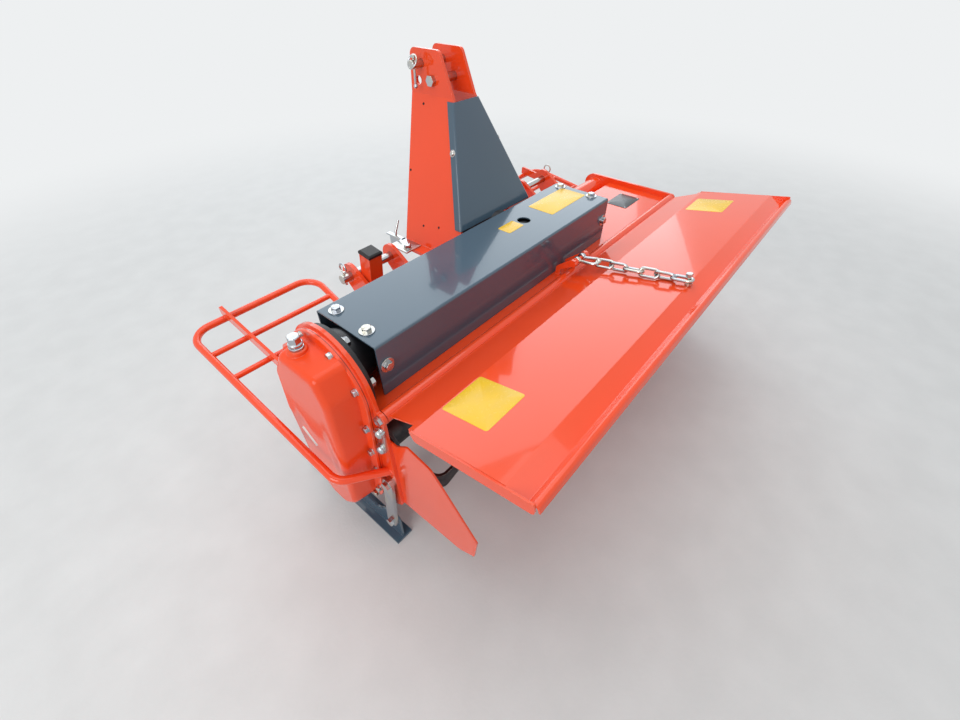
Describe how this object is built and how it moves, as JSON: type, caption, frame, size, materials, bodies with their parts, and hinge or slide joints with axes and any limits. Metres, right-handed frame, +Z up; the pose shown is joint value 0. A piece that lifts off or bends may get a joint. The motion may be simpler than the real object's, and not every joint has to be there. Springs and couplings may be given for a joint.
{
  "type": "rotary tiller for a small tractor's three-point hitch",
  "caption": "Tractor-mounted rotary tiller: tined rotor under a bent hood, side gear case, hitch tower, tubular front guards, skids, parking stand, and a tailgate held up by a chain.",
  "frame": {"origin": "on the floor, under the middle of the machine's overall box", "axes": "+X to the machine's right hand seen in the direction of travel, across its working width; +Y forwards, towards the tractor; +Z up"},
  "size_m": [1.491, 0.9675, 0.929],
  "materials": {
    "orange_paint": "gloss powder coat, orange red",
    "grey_paint": "gloss powder coat, dark blue grey",
    "cast_black": "black paint on casting",
    "zinc": "bright zinc plate",
    "bare_steel": "machined and oiled",
    "tine_steel": "black dip paint on forged steel",
    "black_plastic": "moulded"
  },
  "bodies": {
    "frame": {"side_plate_left": "orange_paint", "side_plate_right": "orange_paint", "hood_sheet": "orange_paint", "hinge_pins": "zinc", "front_beam": "orange_paint", "drive_cover": "grey_paint", "gearbox": "cast_black", "drive_tube": "cast_black", "case_flange": "orange_paint", "gear_case": "orange_paint", "case_plugs": "zinc", "tower_plate_left": "orange_paint", "tower_plate_right": "orange_paint", "top_link_pin": "zinc", "tower_spacer": "zinc", "tower_shield": "grey_paint", "lower_clevis_left": "orange_paint", "lower_clevis_right": "orange_paint", "lower_pin_left": "zinc", "lower_pin_right": "zinc", "stand_sleeve": "orange_paint", "front_guard_left": "orange_paint", "front_guard_right": "orange_paint", "deflector_left": "orange_paint", "deflector_right": "orange_paint", "skid_left": "grey_paint", "skid_right": "grey_paint", "skid_links_left": "zinc", "skid_links_right": "zinc", "chain_bracket": "orange_paint", "rotor_bearing_left": "cast_black", "rotor_bearing_right": "cast_black", "pto_guard": "black_plastic"},
    "rotor": {"tine_rotor": "tine_steel"},
    "pto": {"pto_shaft": "bare_steel"},
    "tailgate": {"hinge_tube": "orange_paint", "tailgate_panel": "orange_paint", "tailgate_ends": "orange_paint", "tailgate_chain": "zinc", "chain_lug": "zinc"},
    "stand": {"parking_stand": "orange_paint", "stand_cap": "black_plastic"}
  },
  "joints": [
    {"name": "rotor_spin", "type": "hinge", "parent": "frame", "child": "rotor", "pos_m": [0, -0.00719, 0.222], "axis": [1, 0, 0], "continuous": true},
    {"name": "pto_spin", "type": "hinge", "parent": "frame", "child": "pto", "pos_m": [0, 0.17681, 0.515], "axis": [0, 1, 0], "continuous": true},
    {"name": "tailgate_hinge", "type": "hinge", "parent": "frame", "child": "tailgate", "pos_m": [0, -0.14219, 0.462], "axis": [1, 0, 0], "range_deg": [-25, 45]},
    {"name": "stand_slide", "type": "slide", "parent": "frame", "child": "stand", "axis": [0, -0.1392, 0.9903], "range_m": [0, 0.15]}
  ],
  "couplings": [
    {"joint": "pto_spin", "follows": "rotor_spin", "ratio": 2.5}
  ]
}
